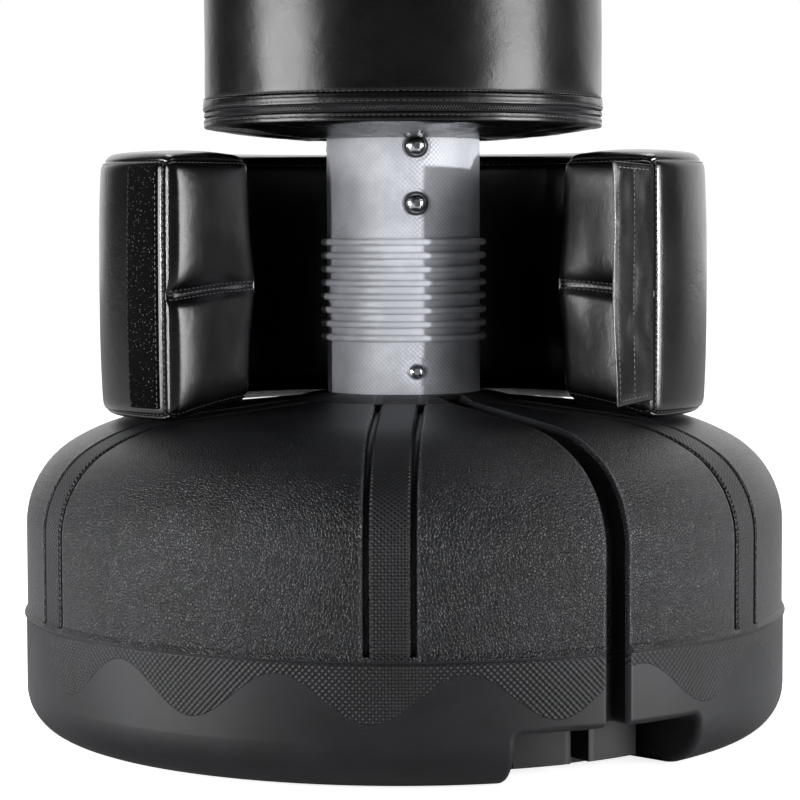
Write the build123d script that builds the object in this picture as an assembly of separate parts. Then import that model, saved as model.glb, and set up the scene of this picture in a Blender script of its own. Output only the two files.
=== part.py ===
from build123d import *
import os
from math import asin, atan2, cos, degrees, hypot, radians, sin, tan

# Free-standing punching bag: a fillable round tank, a flexible neck with moulded ribs, a padded bag
# and a split foam collar that stands round the neck.
# Millimetres, +Z up, origin on the ground under the middle of the tank, front towards -Y.
# An azimuth is counted in degrees from the front, positive towards +X.

# ---- tank ----
tank_radius = 304.0
tank_wall = 4.0
foot_round = 36.0            # rounding between underside and wall
step_height = 93.5           # the parting line, where the patterned dome begins
step_lip = 1.4
dome_step = 1.0                 # the dome stands this far inside the wall
shoulder_height = 165.0      # centre height of the shoulder arc
shoulder_round = 75.0
shoulder_turn = 60.0         # how far the shoulder arc turns before the wider crown arc takes over
plateau_height = 262.0       # height of the cone on top, at the neck ring's outer edge
plateau_slope = 5.75
neck_ring_radius = 90.0
neck_ring_height = 5.2
tank_turn = -2.0             # the whole tank stands turned by this

# grooves in the dome
channel_count = 6
groove_width = 4.5
groove_depth = 5.5
groove_lip = 1.4
channel_half = 16.75         # middle of the channel to the middle of each of its two grooves
deep_groove_azimuth = 32.2   # from the tank's own front
deep_groove_width = 16.0
deep_groove_depth = 22.0
deep_groove_lip = 2.5

# hand recess in the lower rim
recess_half_angle = 15.3
recess_height = 40.0
recess_depth = 78.0
recess_block_depth = 28.0
recess_block_lift = 6.0
recess_block_end = 12.3      # outer end of each block, degrees from the recess's middle
recess_ceiling_round = 6.0
recess_mouth_round = 5.0

# well that takes the neck
well_floor = 24.0
well_floor_thickness = 7.0
well_wall = 5.0
underside_recess_radius = 24.0

# filler
filler_azimuth = 152.0       # from the tank's own front
filler_edge_distance = 63.0     # from the dome's side in to the middle of the filler
filler_boss_radius = 29.0
filler_seat_height = 235.0
filler_boss_depth = 22.0
filler_hole_radius = 17.0
cap_radius = 22.5
cap_height = 11.0
cap_plug_length = 14.0
cap_grip_count = 18
gasket_height = 2.0
gasket_width = 4.0

# ---- neck ----
neck_radius = 61.4
neck_wall = 4.4
rib_count = 8
rib_pitch = 10.8
rib_height = 5.5
rib_reach = 5.1
lowest_rib = 311.3
plain_above_rib = 6.3        # plain length between the last rib's middle and the cuff
cuff_in_bag = 83.0             # how far the upper cuff reaches up into the bag
inner_tube_wall = 3.0
stem_top_gap = 2.0           # both inner tubes stop this far short of the ribbed part
core_plate_thickness = 6.0

# ---- fasteners ----
bolt_azimuth = 9.7
bolts_round = 3
upper_bolt_drops = (15.0, 60.0)  # below the bag's bottom seam
lower_bolt_height = 285.0
bolt_radius = 4.0
bolt_head_radius = 7.8
bolt_head_height = 4.2
lower_head_radius = 6.8
bolt_length = 17.0
socket_width = 5.0
socket_depth = 2.4
washer_radius = 9.5
washer_thickness = 1.6
spot_face_radius = 12.0
anchor_radius = 6.0
anchor_length = 26.0
anchor_head_width = 18.0
anchor_head_height = 7.5
anchor_washer_radius = 20.0
anchor_washer_thickness = 3.0

# ---- bag ----
bag_radius = 159.0
bag_gap = 21.0                 # from the collar's top to the bag's bottom seam
bag_top = 1683.0             # seam between the side and the top panel
bag_crown = 17.0
core_short = 45.0            # the core tube stops this far below the top seam
washer_room = 6.0            # hollow in the foam above the top washers
cover_thickness = 2.0
bottom_sag = 8.5             # the bottom panel's rim above its middle
bottom_hole_gap = 1.0        # bottom panel's hole, outside the bolt heads
lower_band_height = 7.5
zip_tape_height = 6.5
upper_band_height = 7.5
band_proud = 0.8
zip_chain_width = 3.0
zip_chain_proud = 1.0
slider_width = 8.0
slider_height = 9.0
slider_thickness = 3.4
pull_length = 13.0
pull_width = 5.0
pull_thickness = 1.4
pull_pin_radius = 0.9

# ---- collar ----
collar_bottom = 263.0
collar_height = 193.0
collar_thickness = 90.0
collar_back_room = 28.5        # from the neck's ribs to the inner face of the collar's back
collar_straight = 60.5       # half length of the straight back
collar_hinge_half = 31.0     # half distance between the two places where it folds
collar_arm_radius = 136.0    # middle of the arm's thickness
collar_arm_turn = 137.5
collar_turn = 2.5            # the whole collar stands turned by this
collar_skin = 2.0
collar_edge_round = 14.0
strip_width = 38.0
strip_margin = 12.0
strip_thickness = 1.2
strip_end_gap = 12.0
flap_width = 42.0
flap_thickness = 2.4
flap_end_gap = 10.0
hook_width = 30.0

# ---- clearances ----
fit = 0.3                    # between pieces that are pushed together
running = 0.5                # between pieces that move past each other
screw_fit = 0.1

# ---- sizes that follow ----
dome_radius = tank_radius - dome_step
filler_centre_radius = dome_radius - filler_edge_distance
collar_top = collar_bottom + collar_height
bag_bottom = collar_top + bag_gap        # seam between the side and the bottom panel
upper_cuff_top = bag_bottom + cuff_in_bag
upper_bolt_heights = [bag_bottom - drop for drop in upper_bolt_drops]
collar_back_gap = neck_radius + rib_reach + collar_back_room
shoulder_centre = (dome_radius - shoulder_round, shoulder_height)
crown_end = 90 - plateau_slope
upright = (Align.CENTER, Align.CENTER, Align.MIN)
well_radius = neck_radius + fit
neck_bore = neck_radius - neck_wall
inner_tube_radius = neck_bore - fit
inner_tube_bore = inner_tube_radius - inner_tube_wall
bellows_low = lowest_rib - plain_above_rib
bellows_high = lowest_rib + (rib_count - 1) * rib_pitch + plain_above_rib
spot_face = (neck_radius ** 2 - spot_face_radius ** 2) ** 0.5
cover_bore = bag_radius - cover_thickness
collar_outer = collar_arm_radius + collar_thickness / 2
collar_inner = collar_arm_radius - collar_thickness / 2
collar_centre = collar_back_gap + collar_thickness / 2 - collar_arm_radius
core_top = bag_top - core_short
zip_low = bag_bottom + lower_band_height
zip_high = zip_low + zip_tape_height
zip_middle = (zip_low + zip_high) / 2
cover_low = zip_high + upper_band_height
panel_hole = spot_face + washer_thickness + bolt_head_height + bottom_hole_gap + fit
bolt_recess_top = max(upper_bolt_heights) + washer_radius + washer_room
slider_seat = bag_radius + band_proud + fit


def at_azimuth(shape, azimuth):
    """Turn a shape that was made facing the front round the upright axis."""
    return shape.rotate(Axis.Z, azimuth)


def on_arc(centre, radius, angle):
    return (centre[0] + radius * cos(radians(angle)), centre[1] + radius * sin(radians(angle)))


def arc(centre, radius, start, end):
    return ThreePointArc(*[on_arc(centre, radius, a) for a in (start, (start + end) / 2, end)])


def tube(outer, inner, low, high):
    wall = Cylinder(outer, high - low, align=upright) - Cylinder(inner, high - low, align=upright)
    return Pos(0, 0, low) * wall


def turned(*outline):
    """Solid of revolution from edges or from (radius, height) points."""
    edges = Polyline(*outline, close=True) if isinstance(outline[0], tuple) else Curve() + list(outline)
    return revolve(Plane.XZ * make_face(edges), Axis.Z)


def plateau(radius):
    return plateau_height - tan(radians(plateau_slope)) * (radius - neck_ring_radius)


def crown_arc():
    """Centre and radius of the arc that joins the shoulder to the cone, tangent to both."""
    x, z = on_arc(shoulder_centre, shoulder_round, shoulder_turn)
    start, end = radians(shoulder_turn), radians(crown_end)
    across, up = cos(start) - cos(end), sin(end) - sin(start)
    radius = (plateau(x) - z) / (up - tan(radians(plateau_slope)) * across)
    return (x - radius * cos(start), z - radius * sin(start)), radius


def skin_edges(inset, inner_end, lower_end):
    """The dome's half section from the plateau down to the wall, moved inwards by the inset."""
    centre, radius = crown_arc()
    start = (inner_end, plateau(inner_end) - inset / cos(radians(plateau_slope)))
    wall = dome_radius - inset
    return [
        Line(start, on_arc(centre, radius - inset, crown_end)),
        arc(centre, radius - inset, crown_end, shoulder_turn),
        arc(shoulder_centre, shoulder_round - inset, shoulder_turn, 0),
        Line((wall, shoulder_height), (wall, lower_end)),
    ]


def cavity(inset):
    """The tank's inside, made of plain cones that stay at least this far inside the skin."""
    inner, low, wall = well_radius + well_wall, tank_wall, dome_radius - inset
    centre, radius = crown_arc()
    crown = [on_arc(centre, radius - inset, a) for a in (crown_end, (crown_end + shoulder_turn) / 2)]
    shoulder = [on_arc(shoulder_centre, shoulder_round - inset, shoulder_turn * i / 3) for i in (3, 2, 1, 0)]
    foot = [on_arc((wall - foot_round, low + foot_round), foot_round, a) for a in (0, -30, -60, -90)]
    top = plateau(inner) - inset / cos(radians(plateau_slope))
    return turned((inner, top), *crown, *shoulder, *foot, (inner, low))


def groove(width, depth, lip, offset, inner_end, lower_end):
    """A cutter that follows the dome at one distance beside its front meridian, with flared lips."""
    inset = offset ** 2 / (2 * tank_radius)
    skin = [Plane.YZ * edge.mirror(Plane.YZ) for edge in skin_edges(inset, inner_end, lower_end)]
    path = Pos(offset, 0, 0) * Wire(skin)
    half, above, corner = width / 2, 3.0, min(width / 2 - 0.2, 4.0)
    section = Curve() + [
        Polyline((half, corner - depth), (half, -lip), (half + lip + above, above),
                 (-half - lip - above, above), (-half, -lip), (-half, corner - depth)),
        arc((corner - half, corner - depth), corner, 180, 270),
        Line((corner - half, -depth), (half - corner, -depth)),
        arc((half - corner, corner - depth), corner, 270, 360),
    ]
    place = Plane(origin=path @ 0, x_dir=(1, 0, 0), z_dir=path % 0)
    return sweep(place * make_face(section), path=path)


def recess_sector(inner, outer, low, high, start, end):
    """Part of a ring between two azimuths from the recess's middle."""
    ring = tube(outer, inner, low, high)
    reach = 2 * outer
    wedge = make_face(Polyline(
        (0, 0),
        (reach * sin(radians(start)), -reach * cos(radians(start))),
        (reach * sin(radians(end)), -reach * cos(radians(end))),
        close=True,
    ))
    return ring & Pos(0, 0, low) * extrude(wedge, high - low)


def hand_recess():
    """Hollow under the rim with two moulded blocks in it, made facing the front."""
    inner = tank_radius - recess_depth
    gap = degrees(asin(deep_groove_width / 2 / (inner + recess_block_depth)))
    hollow = recess_sector(inner, tank_radius + 10, -5, recess_height, -recess_half_angle, recess_half_angle)
    hollow = fillet([e for e in hollow.edges() if abs(e.center().Z - recess_height) < 0.1],
                    recess_ceiling_round)
    for side in (-1, 1):
        ends = sorted((side * gap, side * recess_block_end))
        block = recess_sector(
            inner - 2, inner + recess_block_depth, recess_block_lift, recess_height + 1, ends[0], ends[1]
        )
        hollow -= block
    return hollow


def soften_recess_mouth(tank):
    """Round the edges where the hand recess, facing the front, opens through the rim."""
    def at_mouth(edge):
        x, y, z = edge.center()
        in_sector = y < 0 and abs(degrees(atan2(x, -y))) < recess_half_angle + 0.6
        return in_sector and z < recess_height + 1 and hypot(x, y) > tank_radius - foot_round

    return fillet(tank.edges().filter_by(at_mouth), recess_mouth_round)


def recess_backing():
    """The room that the hand recess and its own wall take out of the tank's inside."""
    spread = recess_half_angle + degrees(tank_wall / tank_radius) + 0.6
    return recess_sector(
        tank_radius - recess_depth - tank_wall, tank_radius, 0, recess_height + tank_wall, -spread, spread
    )


def slab(half_width):
    """Thin upright wall from the axis to the front, wider than the tank is tall."""
    return Pos(0, -tank_radius / 2, 0) * Box(2 * half_width, tank_radius, 3 * tank_radius)


def filler_place():
    a = radians(filler_azimuth)
    return Pos(filler_centre_radius * sin(a), -filler_centre_radius * cos(a), 0)


def base_tank():
    """Hollow blow-moulded tank with its grooves, its well for the neck and its filler boss."""
    neck_rim = plateau_height + neck_ring_height
    outer = turned(
        *skin_edges(0, neck_ring_radius, step_height + 6),
        Polyline((dome_radius, step_height + 6), (tank_radius + step_lip, step_height + 1.5),
                 (tank_radius + step_lip, step_height), (tank_radius, step_height - 0.8),
                 (tank_radius, foot_round)),
        arc((tank_radius - foot_round, foot_round), foot_round, 0, -90),
        Polyline((tank_radius - foot_round, 0), (0, 0), (0, neck_rim), (well_radius + 2, neck_rim)),
        Spline((well_radius + 2, neck_rim), (well_radius + 14, neck_rim - 1.6),
               (neck_ring_radius, plateau_height)),
    )
    channels = [i * 360 / channel_count for i in range(channel_count)]
    channel_room = slab(channel_half + groove_width / 2 + tank_wall)
    deep_room = slab(deep_groove_width / 2 + tank_wall)
    channel_hollow = cavity(tank_wall + groove_depth) & channel_room
    deep_hollow = cavity(tank_wall + deep_groove_depth) & deep_room
    hollow = cavity(tank_wall) - [at_azimuth(channel_room, azimuth) for azimuth in channels]
    hollow += [at_azimuth(channel_hollow, azimuth) for azimuth in channels]
    hollow -= at_azimuth(deep_room, deep_groove_azimuth)
    hollow += at_azimuth(deep_hollow, deep_groove_azimuth)
    hollow -= at_azimuth(recess_backing(), deep_groove_azimuth)

    boss_low = filler_seat_height - filler_boss_depth
    boss = Pos(0, 0, boss_low) * Cylinder(filler_boss_radius, filler_boss_depth, align=upright)
    pocket = Pos(0, 0, filler_seat_height) * Cylinder(filler_boss_radius - 3, 60, align=upright)
    filler_hole = Pos(0, 0, boss_low - 1) * Cylinder(filler_hole_radius, 60, align=upright)
    tank = outer - hollow + filler_place() * boss
    tank -= [
        filler_place() * pocket,
        filler_place() * filler_hole,
        Pos(0, 0, well_floor) * Cylinder(well_radius, neck_rim, align=upright),
        Cylinder(underside_recess_radius, well_floor - well_floor_thickness, align=upright),
        Cylinder(anchor_radius + fit, neck_rim, align=upright),
    ]
    side_groove = [groove(groove_width, groove_depth, groove_lip, side * channel_half,
                          neck_ring_radius + 2, step_height + 4) for side in (-1, 1)]
    tank -= [at_azimuth(cutter, azimuth) for azimuth in channels for cutter in side_groove]
    deep = groove(deep_groove_width, deep_groove_depth, deep_groove_lip, 0,
                  well_radius + 8, recess_height - 5)
    tank -= [at_azimuth(deep, deep_groove_azimuth), at_azimuth(hand_recess(), deep_groove_azimuth)]
    tank = soften_recess_mouth(at_azimuth(tank, -deep_groove_azimuth))
    return at_azimuth(tank, deep_groove_azimuth + tank_turn)


def filler_cap():
    """Knurled screw cap with a short plug that fills the hole."""
    low = filler_seat_height + gasket_height
    cap = Pos(0, 0, low) * Cylinder(cap_radius, cap_height, align=upright)
    cap = fillet(cap.edges().group_by(Axis.Z)[-1], 2.5)
    grip = Pos(cap_radius + 0.8, 0, low - 1) * Cylinder(2.0, cap_height + 5, align=upright)
    cap -= [at_azimuth(grip, i * 360 / cap_grip_count) for i in range(cap_grip_count)]
    plug = Pos(0, 0, low - cap_plug_length) * Cylinder(
        filler_hole_radius - running, cap_plug_length, align=upright)
    coin_slot = Pos(0, 0, low + cap_height) * Box(2 * cap_radius - 14, 4, 5)
    return at_azimuth(filler_place() * (cap + plug - coin_slot), tank_turn)


def filler_gasket():
    inner = filler_hole_radius + fit
    gasket = tube(inner + gasket_width, inner, filler_seat_height, filler_seat_height + gasket_height)
    return at_azimuth(filler_place() * gasket, tank_turn)


def spot_faced(wall, heights):
    """Cut the flat seats and the screw holes into the wall of a cuff."""
    for height in heights:
        for i in range(bolts_round):
            seat = Pos(0, -spot_face - 10, height) * Rot(90, 0, 0) * Cylinder(spot_face_radius, 20)
            hole = Pos(0, -neck_radius, height) * Rot(90, 0, 0) * Cylinder(bolt_radius + fit, 30)
            azimuth = bolt_azimuth + i * 360 / bolts_round
            wall -= [at_azimuth(seat, azimuth), at_azimuth(hole, azimuth)]
    return wall


def tapped(wall, heights):
    """Cut the screw holes into an inner tube."""
    for height in heights:
        for i in range(bolts_round):
            hole = Pos(0, -neck_radius, height) * Rot(90, 0, 0) * Cylinder(bolt_radius + screw_fit, 30)
            wall -= at_azimuth(hole, bolt_azimuth + i * 360 / bolts_round)
    return wall


def neck_lower_cuff():
    return spot_faced(tube(neck_radius, neck_bore, well_floor + core_plate_thickness / 2, bellows_low),
                      [lower_bolt_height])


def neck_bellows():
    """The flexible part of the neck, with half-round ribs round it."""
    wall = tube(neck_radius, neck_bore, bellows_low, bellows_high)
    half = rib_height / 2
    straight = neck_radius + rib_reach - half
    for i in range(rib_count):
        middle = lowest_rib + i * rib_pitch
        wall += turned(
            Polyline((straight, middle + half), (neck_radius - 1, middle + half),
                     (neck_radius - 1, middle - half), (straight, middle - half)),
            arc((straight, middle), half, -90, 90),
        )
    return wall


def neck_upper_cuff():
    return spot_faced(tube(neck_radius, neck_bore, bellows_high, upper_cuff_top), upper_bolt_heights)


def base_stem():
    """Steel tube with a closed foot, standing on the floor of the well."""
    top = bellows_low - stem_top_gap
    stem = tube(inner_tube_radius, inner_tube_bore, well_floor, top)
    foot = tube(inner_tube_bore + 1, anchor_radius + screw_fit, well_floor,
                well_floor + core_plate_thickness)
    return tapped(stem + foot, [lower_bolt_height])


def core_tube():
    """Tube up the middle of the bag, bolted into the neck's upper cuff."""
    low = bellows_high + stem_top_gap
    return tapped(tube(inner_tube_radius, inner_tube_bore, low, core_top), upper_bolt_heights)


def core_plug():
    """Cap in the upper end of the core tube."""
    flange = Pos(0, 0, core_top) * Cylinder(inner_tube_radius, 3, align=upright)
    plug = Pos(0, 0, core_top - 25) * Cylinder(inner_tube_bore - fit, 25, align=upright)
    return flange + plug


def button_bolt(head_radius, seat):
    """Button-head bolt with a hexagon socket, made facing the front at ground height."""
    shank = Cylinder(bolt_radius, bolt_length, align=upright)
    dome = (head_radius ** 2 + bolt_head_height ** 2) / (2 * bolt_head_height)
    head = Pos(0, 0, bolt_head_height - dome) * Sphere(dome) & Cylinder(
        head_radius, bolt_head_height, align=upright)
    socket = extrude(RegularPolygon(socket_width / 2, 6, major_radius=False), socket_depth + 1)
    bolt = head + Pos(0, 0, -bolt_length) * shank - Pos(0, 0, bolt_head_height - socket_depth) * socket
    return Pos(0, -seat, 0) * Rot(90, 0, 0) * bolt


def round_the_neck(piece, heights):
    return Compound([Pos(0, 0, h) * at_azimuth(piece, bolt_azimuth + i * 360 / bolts_round)
                     for h in heights for i in range(bolts_round)])


def upper_bolts():
    return round_the_neck(button_bolt(bolt_head_radius, spot_face + washer_thickness), upper_bolt_heights)


def lower_bolts():
    return round_the_neck(button_bolt(lower_head_radius, spot_face), [lower_bolt_height])


def bolt_washers():
    washer = tube(washer_radius, bolt_radius + fit, 0, washer_thickness)
    return round_the_neck(Pos(0, -spot_face, 0) * Rot(90, 0, 0) * washer, upper_bolt_heights)


def anchor_washer():
    low = well_floor - well_floor_thickness - anchor_washer_thickness
    return tube(anchor_washer_radius, anchor_radius + fit, low, low + anchor_washer_thickness)


def anchor_bolt():
    """Bolt from below that holds the stem down in its well."""
    seat = well_floor - well_floor_thickness - anchor_washer_thickness
    head = extrude(RegularPolygon(anchor_head_width / 2, 6, major_radius=False), anchor_head_height)
    shank = Cylinder(anchor_radius, anchor_length, align=upright)
    return Pos(0, 0, seat - anchor_head_height) * head + Pos(0, 0, seat) * shank


def bottom_panel():
    """Shallow dished panel under the bag, with a hole for the neck and its bolt heads."""
    rim, low = bag_bottom, bag_bottom - bottom_sag
    return turned((panel_hole, low), (bag_radius - 8, rim - 0.5), (bag_radius - 3, rim + 1.5),
                  (bag_radius - 3, rim + 3.5), (bag_radius - 9, rim + 1.5), (panel_hole, low + 2))


def bag_foam():
    """Foam body, hollow where the neck's cuff and the core tube stand in it."""
    side, low = cover_bore - fit, bag_bottom + 4.2
    inner_low = bag_bottom - bottom_sag + 2 + fit
    cuff_bore, core_bore = neck_radius + fit, inner_tube_radius + fit
    foam = turned(
        (panel_hole, inner_low), (side - 6, low), (side, low + 4), (side, bag_top), (0, bag_top),
        (0, core_top + 3.5), (core_bore, core_top + 3.5), (core_bore, upper_cuff_top + 1),
        (cuff_bore, upper_cuff_top + 1), (cuff_bore, bolt_recess_top), (panel_hole, bolt_recess_top),
    )
    return foam


def rounded_rims(ring, rounding):
    """Round the two outer edges of a ring."""
    rims = ring.edges().filter_by(GeomType.CIRCLE).sort_by(SortBy.RADIUS)[-2:]
    return fillet(rims, rounding)


def lower_band():
    """Edge strip between the bottom seam and the zip."""
    return rounded_rims(tube(bag_radius, cover_bore, bag_bottom + 3.6, zip_low), 0.8)


def zip_tape():
    return tube(bag_radius - 0.8, cover_bore, zip_low, zip_high)


def zip_chain():
    """The closed row of teeth, a low ridge round the tape."""
    middle = (zip_low + zip_high) / 2
    ridge = tube(bag_radius - 0.8 + zip_chain_proud, bag_radius - 0.8,
                 middle - zip_chain_width / 2, middle + zip_chain_width / 2)
    return rounded_rims(ridge, 0.6)


def upper_band():
    """Folded strip above the zip, standing a little proud of the side."""
    band = tube(bag_radius + band_proud, cover_bore, zip_high, cover_low)
    return rounded_rims(band, 0.7)


def bag_cover():
    return tube(bag_radius, cover_bore, cover_low, bag_top)


def top_panel():
    """Crowned round panel that closes the bag above the foam."""
    dome = (bag_radius ** 2 + bag_crown ** 2) / (2 * bag_crown)
    ball = Pos(0, 0, bag_top + bag_crown - dome) * Sphere(dome)
    return ball & Pos(0, 0, bag_top) * Cylinder(bag_radius, bag_crown + 1, align=upright)


def zip_slider():
    """Slider at the back of the bag, on the teeth, with a bridge for its pull."""
    seat = slider_seat
    body = Pos(0, seat + slider_thickness / 2, zip_middle) * Box(
        slider_width, slider_thickness, slider_height)
    body = fillet(body.edges().filter_by(Axis.Y), 2)
    bridge_reach = 2 * pull_pin_radius + 2.2
    bridge = Pos(0, seat + slider_thickness, zip_middle) * Box(
        1.6, 2 * bridge_reach, slider_height - 3)
    eye = Pos(0, seat + slider_thickness + pull_pin_radius + 0.6, zip_middle) * Rot(
        0, 90, 0) * Cylinder(pull_pin_radius + 0.25, 4)
    return body + (bridge & Pos(0, seat + slider_thickness + 10, zip_middle) * Box(30, 20.4, 30)) - eye


def zip_pull():
    """Small hanging tab with the pin that turns in the slider's bridge."""
    y = slider_seat + slider_thickness + pull_pin_radius + 0.6
    pin = Pos(0, y, zip_middle) * Rot(0, 90, 0) * Cylinder(pull_pin_radius, pull_width)
    cheek = Pos(0, y, zip_middle - 2.6) * Box(1.1, pull_thickness, 6.4)
    cheeks = [Pos(side * (pull_width - 1.1) / 2, 0, 0) * cheek for side in (-1, 1)]
    low = zip_middle - pull_length
    tab_height = pull_length - 5.0
    tab = Pos(0, y, low + tab_height / 2) * Box(pull_width, pull_thickness, tab_height)
    tab = fillet(tab.edges().filter_by(Axis.Y).group_by(Axis.Z)[0], 1.8)
    return pin + cheeks + tab


def collar_placed(shape):
    return shape.rotate(Axis.Z, collar_turn)


def padded_block(plan, inset, open_sides):
    """Upright block of the plan's outline with soft edges, except where it meets its neighbour."""
    block = Pos(0, 0, collar_bottom + inset) * extrude(plan, collar_height - 2 * inset)
    soft = collar_edge_round - inset

    def is_soft(edge):
        middle = edge.center()
        return all(abs(middle.X - x) > 0.2 for x in open_sides)

    ends = [e for e in block.edges().filter_by(Axis.Z) if is_soft(e) and e.center().Y < 0]
    if ends:
        block = fillet(ends, soft)
    flat = [e for e in block.edges() if is_soft(e) and abs(e.bounding_box().size.Z) < 0.1]
    return fillet(flat, soft)


def arm_plan(inset):
    """Plan of the left arm: a short straight piece, then most of a half circle."""
    centre = (-collar_straight, collar_centre)
    inner, outer = collar_inner + inset, collar_outer - inset
    end = 90 + collar_arm_turn - degrees(inset / collar_arm_radius)
    start = -collar_hinge_half - running - inset
    return make_face(Curve() + [
        Polyline(on_arc(centre, inner, 90), (start, collar_centre + inner),
                 (start, collar_centre + outer), on_arc(centre, outer, 90)),
        arc(centre, outer, 90, end),
        Line(on_arc(centre, outer, end), on_arc(centre, inner, end)),
        arc(centre, inner, end, 90),
    ])


def arm_block(side, inset):
    start = -collar_hinge_half - running - inset
    block = padded_block(arm_plan(inset), inset, [start])
    return block if side < 0 else block.mirror(Plane.YZ)


def back_block(inset):
    half = collar_hinge_half - inset
    plan = Pos(0, collar_back_gap + collar_thickness / 2) * Rectangle(
        2 * half, collar_thickness - 2 * inset)
    return padded_block(plan, inset, [-half, half])


def cover_of(block, inset_block):
    return collar_placed(block - inset_block)


def strip_plan(width, start_gap, low, high, side):
    """Strip on an arm's outer face, its edge a given way back from the arm's end."""
    radius = collar_outer
    end = 90 + collar_arm_turn - degrees(start_gap / radius)
    start = end - degrees(width / radius)
    centre = (-collar_straight, collar_centre)
    outline = make_face(Curve() + [
        arc(centre, radius, start, end),
        Line(on_arc(centre, radius, end), on_arc(centre, radius + strip_thickness, end)),
        arc(centre, radius + strip_thickness, end, start),
        Line(on_arc(centre, radius + strip_thickness, start), on_arc(centre, radius, start)),
    ])
    strip = Pos(0, 0, low) * extrude(outline, high - low)
    return strip if side < 0 else strip.mirror(Plane.YZ)


def loop_strip():
    low, high = collar_bottom + strip_end_gap + 2, collar_top - strip_end_gap - 2
    return collar_placed(strip_plan(strip_width, strip_margin + 2, low, high, -1))


def flap_box(width, start, inner, thickness, height):
    """Flat upright piece that continues the right arm's outer face past the arm's end."""
    turn = collar_arm_turn
    corner = Pos(collar_straight + collar_outer * sin(radians(turn)),
                 collar_centre + collar_outer * cos(radians(turn)), collar_bottom + collar_height / 2)
    box = Pos(-start - width / 2, -inner - thickness / 2, 0) * Box(width, thickness, height)
    return corner * Rot(0, 0, 180 - turn) * box


def collar_flap():
    height = collar_height - 2 * flap_end_gap
    flap = flap_box(flap_width, running, running + strip_thickness, flap_thickness, height)
    corners = flap.edges().filter_by(lambda e: abs(e.length - flap_thickness) < 0.01)
    outer = corners.sort_by(Axis.X)[:2]
    return collar_placed(fillet(outer, 8))


def hook_strip():
    height = collar_height - 2 * flap_end_gap - 16
    return collar_placed(flap_box(hook_width, flap_width - hook_width - 4, running,
                                  strip_thickness, height))


pieces = {
    "base_tank": base_tank,
    "filler_gasket": filler_gasket,
    "filler_cap": filler_cap,
    "base_stem": base_stem,
    "anchor_washer": anchor_washer,
    "anchor_bolt": anchor_bolt,
    "neck_lower_cuff": neck_lower_cuff,
    "lower_bolts": lower_bolts,
    "neck_bellows": neck_bellows,
    "neck_upper_cuff": neck_upper_cuff,
    "upper_bolts": upper_bolts,
    "bolt_washers": bolt_washers,
    "core_tube": core_tube,
    "core_plug": core_plug,
    "bag_foam": bag_foam,
    "bottom_panel": bottom_panel,
    "lower_band": lower_band,
    "zip_tape": zip_tape,
    "zip_chain": zip_chain,
    "upper_band": upper_band,
    "bag_cover": bag_cover,
    "top_panel": top_panel,
    "zip_slider": zip_slider,
    "zip_pull": zip_pull,
    "collar_back_foam": lambda: collar_placed(back_block(collar_skin + fit)),
    "collar_back_cover": lambda: cover_of(back_block(0), back_block(collar_skin)),
    "collar_left_foam": lambda: collar_placed(arm_block(-1, collar_skin + fit)),
    "collar_left_cover": lambda: cover_of(arm_block(-1, 0), arm_block(-1, collar_skin)),
    "collar_right_foam": lambda: collar_placed(arm_block(1, collar_skin + fit)),
    "collar_right_cover": lambda: cover_of(arm_block(1, 0), arm_block(1, collar_skin)),
    "loop_strip": loop_strip,
    "collar_flap": collar_flap,
    "hook_strip": hook_strip,
}

os.makedirs("parts", exist_ok=True)
for name, make in pieces.items():
    export_step(make(), f"parts/{name}.step")
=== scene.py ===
from math import asin, cos, exp, hypot, pi, radians, sin

import bmesh
import bpy
from mathutils import Matrix, Vector, bvhtree, noise


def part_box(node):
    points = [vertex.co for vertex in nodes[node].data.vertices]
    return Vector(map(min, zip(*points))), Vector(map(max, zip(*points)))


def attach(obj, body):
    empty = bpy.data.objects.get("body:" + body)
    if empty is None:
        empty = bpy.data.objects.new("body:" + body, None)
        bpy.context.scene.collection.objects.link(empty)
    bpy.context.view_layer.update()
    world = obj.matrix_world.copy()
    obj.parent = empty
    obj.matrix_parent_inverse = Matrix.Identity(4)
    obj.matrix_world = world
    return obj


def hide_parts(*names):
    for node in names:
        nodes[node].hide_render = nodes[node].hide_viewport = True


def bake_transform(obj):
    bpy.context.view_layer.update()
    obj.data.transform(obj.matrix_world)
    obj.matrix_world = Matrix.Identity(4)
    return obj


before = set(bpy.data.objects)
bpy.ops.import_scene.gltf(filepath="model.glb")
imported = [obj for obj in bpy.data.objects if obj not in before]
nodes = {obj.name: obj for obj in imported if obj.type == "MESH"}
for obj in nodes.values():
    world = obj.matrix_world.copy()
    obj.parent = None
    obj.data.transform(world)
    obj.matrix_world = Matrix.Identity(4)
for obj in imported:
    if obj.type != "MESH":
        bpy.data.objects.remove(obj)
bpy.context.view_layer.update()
MM = 0.001

# ---------------------------------------------------------------- sizes, all from the frame
tank_low, tank_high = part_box("base_tank")
cover_low, cover_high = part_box("bag_cover")
cuff_low, cuff_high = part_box("neck_upper_cuff")
ribs_low, ribs_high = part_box("neck_bellows")
bag_radius = (cover_high.x - cover_low.x) / 2
neck_radius = (cuff_high.x - cuff_low.x) / 2
tank_radius = (tank_high.x - tank_low.x) / 2
bag_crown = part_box("top_panel")[1].z
bottom_low, bottom_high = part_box("bottom_panel")
zip_low, zip_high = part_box("zip_tape")
parting_height = 93.5 * MM          # edge between the tank's lower wall and its dome
tank_turn = -2.0                    # degrees
channel_half = 13.8 * MM            # middle of a channel to the inner edge of its grooves
channel_edge = 20.6 * MM            # middle of a channel to the outer edge of its grooves
deep_groove_azimuth = 32.2          # degrees from the tank's own front
deep_groove_half = 11 * MM
collar_low, collar_high = (corner.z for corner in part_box("collar_back_cover"))
collar_thickness = 90 * MM
collar_straight = 60.5 * MM         # half length of the straight back
collar_bend = 136 * MM              # radius of the arms, at the middle of their thickness
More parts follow.
